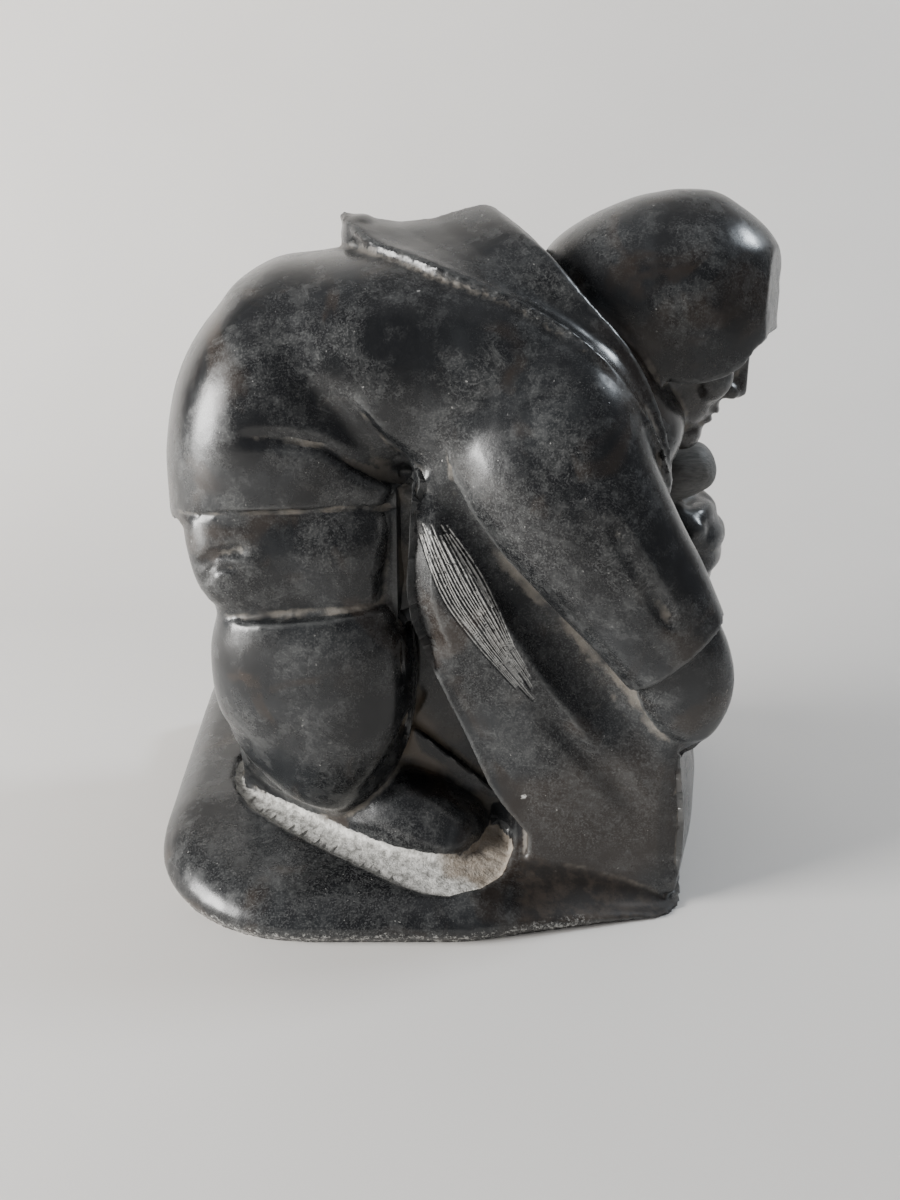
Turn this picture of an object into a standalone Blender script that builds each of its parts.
"""A dark stone carving: a figure in a hooded parka and boots, bent far forward over a slanting slab, on its own base.

The whole work is one block of stone, so it is one solid. +X is the way the figure faces, +Y its left side, and
+Z is up. The underside is flat at z = 0.
"""

import math

import bmesh
import bpy
import numpy as np
from mathutils import Matrix, Vector

# Driving dimensions, in metres
FIGURE_HEIGHT = 0.230  # from the top of the base to the crown of the hair
BASE_LENGTH = 0.233  # back to front
BASE_FRONT = 0.115  # from the figure's middle to the base's front edge
BASE_DEPTH = 0.200
BASE_SHIFT = 0.013  # how far the base's middle lies to the figure's left of its line of symmetry
BASE_HEIGHT = 0.030  # at the feet
BASE_FALL = 0.20  # how steeply the top falls to the near side
BASE_RISE = 0.08  # how steeply it climbs to the far side
BASE_LEVEL = 0.010  # half width of the level part between
BASE_CORNER = 0.046  # radius of its rounded corners in plan
BASE_BORDER = 0.016  # width of the rounded border
BASE_UNDERCUT = 0.004  # how far the underside is set in from the rim
BASE_THINNEST = 0.0015  # its height where the front corner runs out
BACK_SLANT = 0.005  # how much further forward the back edge lies at its near end
CORNER_BACK = 0.027  # how far the near front corner lies behind the front edge
CORNER_IN = 0.020  # and inside the near edge
CORNER_EDGE = 0.003  # its radius: the one sharp corner
CORNER_BEND = 0.108  # how far behind the front edge the near side bends in to it
CORNER_START = (0.031, -0.060)  # where the slope down to it begins
CORNER_FALL = (0.516, 0.926)  # how steeply that slope falls forwards, and to the near side
BANK_START = 0.022  # where the sloping bank below the slab begins, from the base's middle
BANK_STEP = 0.005
BANK_HEIGHT = 0.0145
STRIP_DEPTH = 0.0030  # of the rough strip round the feet
STRIP_STEP = 0.0030  # width of the step down to it
SLAB_BOW = 0.018  # how far the slab's front swells forwards on its way to the far side
CLAY_VOXEL = 0.0015  # the grid on which the forms are fused
SOFT_PASSES = 28  # of smoothing where forms run into each other
CRISP_PASSES = 3  # where they meet in a line
TRIANGLES = 9400

# The figure keeps its pose as shares of its own height: 230 units from the base's top to the crown
UNIT = FIGURE_HEIGHT / 230
STONE_COLOR = (0.022, 0.024, 0.027, 1.0)


def spot(x, y, z):
    """A place on the figure in its own units, with z counted from the top of the base."""
    return Vector((x * UNIT, y * UNIT, BASE_HEIGHT + z * UNIT))


def clear_scene():
    for thing in list(bpy.data.objects):
        bpy.data.objects.remove(thing, do_unlink=True)


def smooth_between(values, share):
    """The Catmull-Rom curve through evenly counted values, at a share from 0 to 1."""
    last = len(values) - 1
    place = min(max(share, 0.0), 1.0) * last
    i = min(int(place), last - 1)
    t = place - i
    before = values[max(i - 1, 0)]
    start, end = values[i], values[i + 1]
    after = values[min(i + 2, last)]
    return 0.5 * (
        2 * start
        + (end - before) * t
        + (2 * before - 5 * start + 4 * end - after) * t**2
        + (3 * start - before - 3 * end + after) * t**3
    )


def close_rings(name, rings, start, end):
    """A closed mesh from rings of points of one count, with a centre point beyond each end."""
    mesh = bmesh.new()
    loops = [[mesh.verts.new(p) for p in ring] for ring in rings]
    count = len(loops[0])
    for lower, upper in zip(loops, loops[1:]):
        for i in range(count):
            j = (i + 1) % count
            mesh.faces.new((lower[i], lower[j], upper[j], upper[i]))
    first, last = mesh.verts.new(start), mesh.verts.new(end)
    for i in range(count):
        j = (i + 1) % count
        mesh.faces.new((first, loops[0][j], loops[0][i]))
        mesh.faces.new((last, loops[-1][i], loops[-1][j]))
    bmesh.ops.recalc_face_normals(mesh, faces=mesh.faces)
    data = bpy.data.meshes.new(name)
    mesh.to_mesh(data)
    mesh.free()
    form = bpy.data.objects.new(name, data)
    bpy.context.scene.collection.objects.link(form)
    return form


def loft(name, stations, squareness=2.3, dome=(0.45, 0.45), level=False, steps=7, sides=40):
    """A limb or trunk through stations of x, y, z, half depth, half width and turn in degrees, in figure units.

    The width lies across the figure, along Y where the path allows, and the depth square to it and to the path.
    Where level is set, every section lies flat instead.
    """
    table = [np.array(list(s) + [0.0] * (6 - len(s)), float) for s in stations]
    count = steps * (len(table) - 1) + 1
    samples = [smooth_between(table, i / (count - 1)) for i in range(count)]
    centres = [spot(*s[:3]) for s in samples]
    rings = []
    ways = []
    for i, (centre, sample) in enumerate(zip(centres, samples)):
        way = (centres[min(i + 1, count - 1)] - centres[max(i - 1, 0)]).normalized()
        if level:
            way = Vector((0.0, 0.0, 1.0))
        across = Vector((0.0, 1.0, 0.0))
        across = (across - way * across.dot(way)).normalized()
        deep = across.cross(way).normalized()
        turned = Matrix.Rotation(math.radians(sample[5]), 3, way)
        deep, across = turned @ deep, turned @ across
        ways.append(way)
        rings.append(section(centre, deep * sample[3] * UNIT, across * sample[4] * UNIT, squareness, sides))
    rings, start = dome_end(rings[::-1], centres[0], -ways[0], samples[0], dome[0])
    rings, end = dome_end(rings[::-1], centres[-1], ways[-1], samples[-1], dome[1])
    return close_rings(name, rings, start, end)


def section(centre, deep, across, squareness, sides):
    """One ring of a superellipse."""
    ring = []
    for i in range(sides):
        angle = math.tau * i / sides
        c, s = math.cos(angle), math.sin(angle)
        u = math.copysign(abs(c) ** (2 / squareness), c)
        v = math.copysign(abs(s) ** (2 / squareness), s)
        ring.append(centre + deep * u + across * v)
    return ring


def dome_end(rings, centre, way, sample, share):
    """Rounds off the last ring: share is the height of the dome against the smaller half size."""
    height = share * min(sample[3], sample[4]) * UNIT
    rim = rings[-1]
    rings = list(rings)
    for step in (0.3, 0.55, 0.75, 0.9):
        shrink = math.sqrt(1 - step**2)
        rings.append([centre + (p - centre) * shrink + way * height * step for p in rim])
    return rings, centre + way * height


def ball(name, place, radii, pitch=0.0, turn=0.0, detail=4):
    """An ellipsoid: radii along its own X, Y and Z, pitched down about Y and turned about Z, in degrees."""
    mesh = bmesh.new()
    bmesh.ops.create_icosphere(mesh, subdivisions=detail, radius=1.0)
    data = bpy.data.meshes.new(name)
    mesh.to_mesh(data)
    mesh.free()
    form = bpy.data.objects.new(name, data)
    bpy.context.scene.collection.objects.link(form)
    form.scale = [r * UNIT for r in radii]
    form.rotation_euler = (0.0, math.radians(pitch), math.radians(turn))
    form.location = spot(*place)
    return form


def rounded_outline(corners, inset, points_each=12):
    """A closed outline in plan: corners of x, y and radius, counted round, all moved inwards by the inset."""
    outline = []
    count = len(corners)
    for i in range(count):
        before, here, after = (np.array(corners[(i + k) % count][:2]) for k in (-1, 0, 1))
        radius = max(corners[i][2] - inset, 0.0005)
        back, on = (before - here) / np.linalg.norm(before - here), (after - here) / np.linalg.norm(after - here)
        half = math.acos(float(np.clip(back @ on, -1, 1))) / 2
        inward = (back + on) / np.linalg.norm(back + on)
        corner = here + inward * inset / math.sin(half)
        centre = corner + inward * radius / math.sin(half)
        first = corner + back * radius / math.tan(half) - centre
        last = corner + on * radius / math.tan(half) - centre
        angle = math.atan2(first[1], first[0])
        turn = (math.atan2(last[1], last[0]) - angle + math.pi) % math.tau - math.pi
        for k in range(points_each):
            a = angle + turn * k / (points_each - 1)
            outline.append(centre + radius * np.array((math.cos(a), math.sin(a))))
    return outline


def base_corners():
    """The base in plan, counted from the near front corner round the near side, the back and the far side."""
    front, back = BASE_FRONT, BASE_FRONT - BASE_LENGTH
    near, far = -BASE_DEPTH / 2, BASE_DEPTH / 2
    return [
        (front - CORNER_BACK, near + CORNER_IN, CORNER_EDGE),
        (front - CORNER_BEND, near, BASE_CORNER),
        (back + BACK_SLANT, near, BASE_CORNER * 1.4),
        (back, far, BASE_CORNER / 2),
        (front, far, BASE_CORNER / 2),
    ]


def base_top(x, y):
    """The height of the base's top: level under the figure, falling to the near side and off to the front corner."""
    if y > 0:
        return BASE_HEIGHT + BASE_RISE * max(0.0, y - BASE_LEVEL)
    side = BASE_HEIGHT - BASE_FALL * max(0.0, -y - BASE_LEVEL)
    corner = BASE_HEIGHT - CORNER_FALL[0] * (x - CORNER_START[0]) + CORNER_FALL[1] * (y - CORNER_START[1])
    bank = min(max(corner - side, 0.0), BANK_HEIGHT) * min(max((x - BANK_START) / BANK_STEP, 0.0), 1.0)
    return max(min(side, corner) + bank, BASE_THINNEST)


# The outer edge, in plan, of the rough sunk strip round the near foot
STRIP_EDGE = [
    (-93, 8), (-91, -10), (-83, -24), (-68, -38), (-51, -53), (-37, -63), (-22, -73), (-8, -80), (1, -81.5),
    (11, -80), (18, -74), (24, -66), (26, -52), (24, -32), (10, 20), (-60, 20),
]


def inside_by(x, y, outline):
    """How far each point lies inside an outline in plan, and negative outside it."""
    least = np.full(x.shape, 1e9)
    inside = np.zeros(x.shape, bool)
    for (ax, ay), (bx, by) in zip(outline, outline[1:] + outline[:1]):
        run = ((x - ax) * (bx - ax) + (y - ay) * (by - ay)) / ((bx - ax) ** 2 + (by - ay) ** 2)
        run = np.clip(run, 0, 1)
        least = np.minimum(least, np.hypot(x - ax - run * (bx - ax), y - ay - run * (by - ay)))
        crosses = (ay > y) != (by > y)
        with np.errstate(divide="ignore", invalid="ignore"):
            inside ^= crosses & (x < (bx - ax) * (y - ay) / (by - ay) + ax)
    return np.where(inside, least, -least)


def sink_strip(base):
    """Lowers the base's top inside the strip round the near foot, and the same, mirrored, round the far one."""
    count = len(base.data.vertices)
    points = np.empty(count * 3)
    base.data.vertices.foreach_get("co", points)
    points = points.reshape(-1, 3)
    outline = [(x * UNIT, y * UNIT) for x, y in STRIP_EDGE]
    depth = inside_by(points[:, 0], -np.abs(points[:, 1]), outline)
    share = np.clip(depth / STRIP_STEP + 0.5, 0, 1) * (points[:, 2] > BASE_HEIGHT * 0.35)
    points[:, 2] -= STRIP_DEPTH * share * share * (3 - 2 * share)
    base.data.vertices.foreach_set("co", points.ravel())
    base.data.update()


def build_base():
    """The base: flat below, a low steep rim, and a rounded border that rises to its sloping top."""
    below, rim = -0.4, 0.33  # shares of its height: how far it is built below the ground, and where it is widest
    levels = [(below, BASE_UNDERCUT), (0.0, BASE_UNDERCUT), (rim / 2, BASE_UNDERCUT / 3), (rim, 0.0)]
    for angle in np.radians((12, 25, 38, 51, 64, 77, 90)):
        levels.append((rim + (1 - rim) * math.sin(angle), BASE_BORDER * (1 - math.cos(angle))))
    rings = []
    for share, inset in levels:
        ring = []
        for x, y in rounded_outline(base_corners(), inset):
            height = share * BASE_HEIGHT if share <= 0 else share * base_top(x, y + BASE_SHIFT)
            ring.append(Vector((x, y + BASE_SHIFT, height)))
        rings.append(ring)
    border = rings[-1]
    for shrink in np.linspace(0.97, 0.07, 16):
        ring = [p * shrink for p in border]
        rings.append([Vector((p.x, p.y, base_top(p.x, p.y))) for p in ring])
    return close_rings("base", rings, Vector((0.0, 0.0, below * BASE_HEIGHT)), Vector((0, 0, BASE_HEIGHT)))


BOW_MIDDLE = 45  # how far to the figure's left the swelling is greatest, in figure units


def prism(name, outline, near, far, bow=0.0):
    """A block of an outline in x and z, from one y to another, with a front that swells by the bow."""
    front = max(x for x, _ in outline)
    rings = []
    for y in np.linspace(near, far, 25):
        swell = bow * (1 - ((y - BOW_MIDDLE) / (BOW_MIDDLE - near)) ** 2)
        rings.append([spot(x + swell * min(max(x / front, 0.0), 1.0) ** 2, y, z) for x, z in outline])
    middle = np.mean(outline, axis=0)
    return close_rings(name, rings, spot(middle[0], near, middle[1]), spot(middle[0], far, middle[1]))


def build_parka():
    """The parka's trunk and sleeves, fused soft, then cut to crisp edges at the hem and the cuffs."""
    forms = [
        loft(
            "hips",
            [
                (-61, 0, 104, 43.5, 58),
                (-61, 0, 126, 43.5, 60),
                (-60, 0, 139, 44, 62),
                (-56, 0, 155, 43.7, 62),
                (-47.5, 0, 170, 41.2, 57),
                (-41, 0, 182, 39.5, 50),
                (-36, 0, 192, 32.5, 40),
            ],
            squareness=2.7,
            dome=(0.02, 0.3),
        ),
        loft(
            "back",
            [
                (-58, 0, 164, 36, 52),
                (-44, 0, 168, 40, 57),
                (-25, 0, 170, 42, 60),
                (0, 0, 168, 43, 61),
                (22, 0, 160, 45, 63),
                (42, 0, 146, 44, 60),
                (60, 0, 130, 38, 50),
            ],
            squareness=2.5,
        ),
    ]
    for side in (-1, 1):
        forms.append(ball(f"shoulder_{side}", (32, 33 * side, 157), (41, 34, 35)))
    forms.append(
        loft(
            "near_sleeve",
            [
                (26, -36, 156, 40, 28),
                (34, -45, 145, 37, 29),
                (44.5, -53, 127.5, 31.5, 26),
                (57, -58, 109.5, 27.5, 23),
                (69, -60, 93, 24.5, 20),
                (80, -60, 75.5, 21.5, 18),
                (86, -60, 66, 20, 17),
            ],
            dome=(0.3, 0.12),
        )
    )
    forms.append(
        loft(
            "far_sleeve",
            [
                (26, 36, 156, 40, 28),
                (36, 45, 144, 36, 28),
                (50, 49, 132, 30, 24),
                (65, 44, 122, 23, 20),
                (78, 34, 118, 17, 16),
                (90, 22, 117, 13, 14),
            ],
            dome=(0.3, 0.5),
        )
    )
    parka = fuse("parka", forms, CLAY_VOXEL, SOFT_PASSES)
    hem_outline = [(-140, 60), (-140, 117), (-101, 117), (-90, 119), (-79, 124), (-60, 126), (-10, 125), (-4, 60)]
    cut(parka, prism("hem_cutter", hem_outline, -90, 90))
    cut(parka, box("cuff_cutter", (88.6, -60, 65.5), (70, 60, 26), pitch=-41))
    return parka


def build_hands():
    mitt = loft(
        "near_hand",
        [
            (75, -56, 88, 17, 13),
            (82.5, -55, 72, 18.5, 15),
            (85.5, -53, 58, 18.5, 15),
            (86.5, -51, 45, 14, 12),
            (86, -50, 38, 8, 8),
        ],
        dome=(0.3, 0.8),
    )
    fist = ball("far_fist", (98, 29, 93), (14, 17, 19), pitch=-12)
    fingers = [
        loft(
            f"finger_{i}",
            [(x + 3, 36, z + 2, 6, 5), (x + 5, 25, z, 6.4, 5.2), (x, 14, z - 1, 6, 5), (x - 8, 11, z - 2, 5, 4.4)],
            dome=(0.6, 0.8),
            steps=5,
            sides=16,
        )
        for i, (x, z) in enumerate([(99.5, 104), (103.5, 95), (102.5, 86), (99, 77.5)])
    ]
    thumb = loft("thumb", [(88, 26, 108, 6, 6), (91, 15, 105, 5.6, 6), (99, 9, 99, 5, 5)], dome=(0.5, 0.8))
    small_round = loft(
        "round_under_chin",
        [(80, 13, 118, 8, 11), (90, 13, 122.5, 10.5, 13.5), (98, 13, 125.5, 10, 12.5)],
        dome=(0.6, 0.8),
        steps=5,
        sides=24,
    )
    return [mitt, fist, thumb, small_round, *fingers]


# The hood's seam on the back and shoulder, and its rim, each as x, half width and z from the top down to the chin
SEAM = [
    (-40, 0, 214), (-38, 12, 213), (-29, 26, 209), (-16, 37, 206), (-3, 45, 202), (18, 49, 195), (36, 53, 186.5),
    (50, 57, 176.5), (64, 56, 160), (74, 52, 143), (78, 43, 128), (74, 22, 116), (71, 0, 112),
]
RIM = [
    (18, 0, 223), (28, 24, 215), (37, 36, 207), (47, 42, 195), (61, 46, 179), (70, 47, 162), (76, 45, 145),
    (79, 38, 129), (76, 20, 117), (73, 0, 112),
]
# How far the hood stands off the line from seam to rim, along its width
HOOD_PROFILE = [
    (0.0, -8), (0.06, 1.0), (0.12, 3.8), (0.2, 3.2), (0.35, 1.8), (0.6, 1.0), (0.82, 3.0), (0.93, 3.2), (1.0, 0.8),
]


def curve_at(points, shares):
    """Points at even shares of the length of a smooth curve."""
    fine = np.array([smooth_between([np.array(p, float) for p in points], i / 200) for i in range(201)])
    length = np.concatenate([[0], np.cumsum(np.linalg.norm(np.diff(fine, axis=0), axis=1))])
    return np.array([[np.interp(s * length[-1], length, fine[:, k]) for k in range(3)] for s in shares])


def build_hood():
    """The hood, pushed back: a broad collar from its seam on the back to the rim round the head."""
    shares = np.linspace(0, 1, 28)
    seam, rim = curve_at(SEAM, shares), curve_at(RIM, shares)
    middle = np.array((25.0, 0.0, 160.0))
    rings = []
    for across, lift in [*HOOD_PROFILE, (0.99, -5), (0.9, -9)]:
        line = seam * (1 - across) + rim * across
        out = line - middle
        fade = 1 - 0.75 * shares[:, None] ** 3  # lower under the chin
        tail = 1 + max(1 - across, 0) * np.exp(-shares[:, None] / 0.08)  # higher where its point lies on the back
        line = line + out / np.linalg.norm(out, axis=1)[:, None] * lift * fade * tail
        half = [spot(x, -abs(y), z) for x, y, z in line]
        other = [spot(x, abs(y), z) for x, y, z in line[-2:0:-1]]
        rings.append(half + other)
    return [close_rings("hood", rings, spot(10, 0, 165), spot(44, 0, 172))]


HEAD = (77, 0, 187)  # the middle of the head, between the ears
HEAD_PITCH = 25  # degrees that the face looks down


def on_head(front, side, up):
    """A place on the head: so far to its front, to its left and up, in figure units."""
    a = math.radians(HEAD_PITCH)
    return (
        HEAD[0] + front * math.cos(a) + up * math.sin(a),
        HEAD[1] + side,
        HEAD[2] - front * math.sin(a) + up * math.cos(a),
    )


def build_hair():
    """Smooth bobbed hair, one heavy rounded mass with a fringe, cut off below to a crisp edge."""
    hair = loft(
        "hair",
        [
            (74, 0, 150, 44, 32),
            (76, 0, 165, 45, 34.5),
            (77, 0, 180, 44.5, 36.5),
            (77.3, 0, 193, 44.5, 37),
            (77.8, 0, 202, 43.4, 36),
            (78.3, 0, 210, 40.8, 33),
            (79.6, 0, 216, 35.4, 28.5),
            (81.2, 0, 221, 28.8, 23),
            (82.8, 0, 225, 21.2, 17),
            (84.8, 0, 227.8, 14.8, 12),
            (87, 0, 229.3, 8.5, 7),
        ],
        squareness=2.3,
        dome=(0.02, 0.1),
        level=True,
    )
    edge = [(20, 120), (20, 167), (70, 167), (89, 165.3), (98, 167.5), (104.6, 171), (109, 177), (115, 180.5)]
    cut(hair, prism("hair_cutter", [*edge, (140, 181.5), (140, 120)], -60, 60))
    return hair


def build_head():
    neck = loft("neck", [(30, 0, 160, 30, 30), (50, 0, 170, 28, 28), (70, 0, 180, 26, 26)])
    skull = ball("skull", on_head(2, 0, 2), (36, 31, 40), pitch=HEAD_PITCH)
    jaw = ball("jaw", on_head(13, 0, -18), (24, 23, 24), pitch=HEAD_PITCH)
    nose = loft(
        "nose",
        [(*on_head(35.5, 0, 3), 3, 3), (*on_head(38.5, 0, -6), 4, 3.8), (*on_head(41, 0, -14), 4.6, 5.6)],
        dome=(0.6, 0.6),
    )
    features = []
    for side in (-1, 1):
        features.append(ball(f"eye_{side}", on_head(32, 13 * side, 1), (4, 8, 3.2), HEAD_PITCH, 18 * side))
        features.append(ball(f"cheek_{side}", on_head(26, 14 * side, -13), (9, 9, 10), HEAD_PITCH))
    features.append(ball("upper_lip", on_head(35.5, 0, -22.5), (4, 9.5, 2.6), HEAD_PITCH))
    features.append(ball("lower_lip", on_head(34.5, 0, -27), (4, 8, 3), HEAD_PITCH))
    features.append(ball("chin", on_head(29, 0, -35), (9, 12, 8), HEAD_PITCH))
    return [neck, skull, jaw, nose, *features, build_hair()]


def build_legs():
    """Both thighs, boots and feet; the boots turn out as they go down."""
    forms = []
    for side in (-1, 1):
        forms.append(
            loft(
                f"thigh_{side}",
                [
                    (-53.5, 30 * side, 80, 31.5, 24),
                    (-53.5, 31 * side, 91, 32.5, 26),
                    (-54.5, 31 * side, 98, 35, 28),
                    (-56, 31 * side, 107, 37.5, 28.5),
                    (-56.5, 30 * side, 117, 38.5, 28),
                    (-56, 28 * side, 135, 36, 28),
                ],
                squareness=2.6,
            )
        )
        forms.append(
            loft(
                f"boot_{side}",
                [
                    (-51.5, 36 * side, 86, 33.5, 27, 0),
                    (-50.5, 36 * side, 73, 37.5, 29, -4 * side),
                    (-50, 35 * side, 57, 38.5, 29, -8 * side),
                    (-50, 33 * side, 40, 37, 27, -14 * side),
                    (-53, 27 * side, 26, 34, 24, -22 * side),
                    (-57, 17.5 * side, 12, 31, 18.5, -32 * side),
                    (-58, 13 * side, 0, 30, 15.5, -35 * side),
                    (-58, 13 * side, -15, 30, 15.5, -35 * side),
                ],
                squareness=2.4,
                dome=(0.05, 0.1),
            )
        )
        forms.append(
            loft(
                f"foot_{side}",
                [
                    (-68, 2 * side, -6, 24, 17),
                    (-42, 16 * side, -5, 26, 19.5),
                    (-18, 30 * side, -8, 24, 22),
                    (0, 37 * side, -14, 20, 21.5),
                ],
                squareness=2.3,
                dome=(0.5, 0.75),
            )
        )
    return forms


def build_slab():
    """The slanting slab under the hands, whose front is the block's own, and the stone left between the limbs."""
    outline = [
        (-12, 136), (-14.5, 97), (-13, 85), (-8, 73), (0, 55), (7, 40), (15, 21), (20, 13), (30, 0), (30, -25),
        (86, -25), (88, -10), (88, 5), (86.5, 20), (84, 40), (80, 70), (60, 120), (20, 140),
    ]
    slab = prism("slab", outline, -59, 70, bow=SLAB_BOW / UNIT)
    core = prism("core", [(-40, -15), (-40, 125), (20, 125), (20, 20), (40, 0), (40, -15)], -26, 60)
    ledge = prism("ledge", [(-40, -15), (-40, 36), (-14, 32), (22, 1), (26, -15)], -30, 60)
    return [slab, core, ledge]


def box(name, place, size, pitch=0.0):
    """A cuboid of full sizes x, y and z, pitched down about Y."""
    mesh = bmesh.new()
    bmesh.ops.create_cube(mesh, size=1.0)
    data = bpy.data.meshes.new(name)
    mesh.to_mesh(data)
    mesh.free()
    form = bpy.data.objects.new(name, data)
    bpy.context.scene.collection.objects.link(form)
    form.scale = [s * UNIT for s in size]
    form.rotation_euler = (0.0, math.radians(pitch), 0.0)
    form.location = spot(*place)
    return form


def apply_modifiers(thing):
    """Replaces the mesh by what its modifiers make of it."""
    graph = bpy.context.evaluated_depsgraph_get()
    done = bpy.data.meshes.new_from_object(thing.evaluated_get(graph))
    thing.modifiers.clear()
    thing.data = done


def cut(thing, cutter):
    """Takes the cutter's shape out of the thing, and the cutter away."""
    modifier = thing.modifiers.new("cut", "BOOLEAN")
    modifier.operation = "DIFFERENCE"
    modifier.solver = "EXACT"
    modifier.object = cutter
    apply_modifiers(thing)
    bpy.data.objects.remove(cutter, do_unlink=True)


def fuse(name, forms, voxel, passes):
    """One mesh that holds every form, fused on a grid and smoothed."""
    joined = bmesh.new()
    for form in forms:
        form.data.transform(form.matrix_basis)
        joined.from_mesh(form.data)
        bpy.data.objects.remove(form, do_unlink=True)
    data = bpy.data.meshes.new(name)
    joined.to_mesh(data)
    joined.free()
    fused = bpy.data.objects.new(name, data)
    bpy.context.scene.collection.objects.link(fused)
    remesh = fused.modifiers.new("fuse", "REMESH")
    remesh.mode = "VOXEL"
    remesh.voxel_size = voxel
    smooth = fused.modifiers.new("polish", "SMOOTH")
    smooth.factor = 0.5
    smooth.iterations = passes
    apply_modifiers(fused)
    return fused


# Folds in the parka's flank and other grooves, as x and z along each, then its half width and its depth
FOLDS = [
    ([(-38, 166), (-28, 158), (-21, 149), (-15, 144), (-9, 138)], 4.5, 2.6),
    ([(-66, 151), (-55, 151), (-46, 150), (-39, 148), (-31, 145), (-24, 139), (-17, 135), (-10, 132)], 3.6, 2.4),
    ([(-76, 157), (-60, 158), (-47, 158), (-36, 155), (-26, 149), (-16, 140)], 13.0, 4.0),
    ([(-14, 41), (-19, 31), (-25, 21), (-31, 15)], 3.6, 2.0),
]
FOLDS_FROM = 26  # of half width: the folds run on the flanks, not between the legs
FAR_FOLDS = 0.5  # how deep the folds of the far flank are, against the near one's


def press_folds(carving):
    """Presses the folds into both flanks, along the surface's own normals."""
    mesh = carving.data
    count = len(mesh.vertices)
    points, normals = np.empty(count * 3), np.empty(count * 3)
    mesh.vertices.foreach_get("co", points)
    mesh.vertices.foreach_get("normal", normals)
    points, normals = points.reshape(-1, 3), normals.reshape(-1, 3)
    x, z = points[:, 0] / UNIT, (points[:, 2] - BASE_HEIGHT) / UNIT
    flank = (np.abs(points[:, 1]) > FOLDS_FROM * UNIT) & (np.abs(normals[:, 1]) > 0.25)
    flank = flank * np.where(points[:, 1] > 0, FAR_FOLDS, 1.0)
    push = np.zeros(count)
    for route, width, depth in FOLDS:
        least = np.full(count, 1e9)
        place = np.zeros(count)
        for i, ((ax, az), (bx, bz)) in enumerate(zip(route, route[1:])):
            run = ((x - ax) * (bx - ax) + (z - az) * (bz - az)) / ((bx - ax) ** 2 + (bz - az) ** 2)
            run = np.clip(run, 0, 1)
            away = np.hypot(x - ax - run * (bx - ax), z - az - run * (bz - az))
            place = np.where(away < least, (i + run) / (len(route) - 1), place)
            least = np.minimum(least, away)
        bell = np.clip(1 - (least / width) ** 2, 0, 1) ** 2
        push = push + depth * bell * np.clip(place * 4, 0, 1) * flank
    points -= normals * push[:, None] * UNIT
    mesh.vertices.foreach_set("co", points.ravel())
    mesh.update()


def centre(carving):
    """Puts the middle of the carving's box over the origin."""
    corners = np.array([v.co for v in carving.data.vertices])
    middle = (corners.min(axis=0) + corners.max(axis=0)) / 2
    carving.data.transform(Matrix.Translation((-middle[0], -middle[1], 0.0)))


def finish(carving):
    faces = sum(len(p.vertices) - 2 for p in carving.data.polygons)
    thin = carving.modifiers.new("facets", "DECIMATE")
    thin.ratio = TRIANGLES / faces
    apply_modifiers(carving)
    ground = box("ground_cutter", (0, 0, 0), (2 * BASE_LENGTH / UNIT, 2 * BASE_DEPTH / UNIT, 2 * BASE_HEIGHT / UNIT))
    ground.location = (0.0, 0.0, -BASE_HEIGHT)
    cut(carving, ground)


def stone():
    material = bpy.data.materials.new("dark polished stone")
    material.use_nodes = True
    shader = material.node_tree.nodes["Principled BSDF"]
    shader.inputs["Base Color"].default_value = STONE_COLOR
    shader.inputs["Roughness"].default_value = 0.35
    shader.inputs["Metallic"].default_value = 0.0
    return material


def main():
    clear_scene()
    parka = build_parka()
    base = fuse("base", [build_base()], CLAY_VOXEL, 1)
    sink_strip(base)
    forms = [base, parka, *build_legs(), *build_slab(), *build_hands(), *build_hood(), *build_head()]
    carving = fuse("carving", forms, CLAY_VOXEL, CRISP_PASSES)
    press_folds(carving)
    finish(carving)
    centre(carving)
    carving.data.materials.clear()
    carving.data.materials.append(stone())


main()
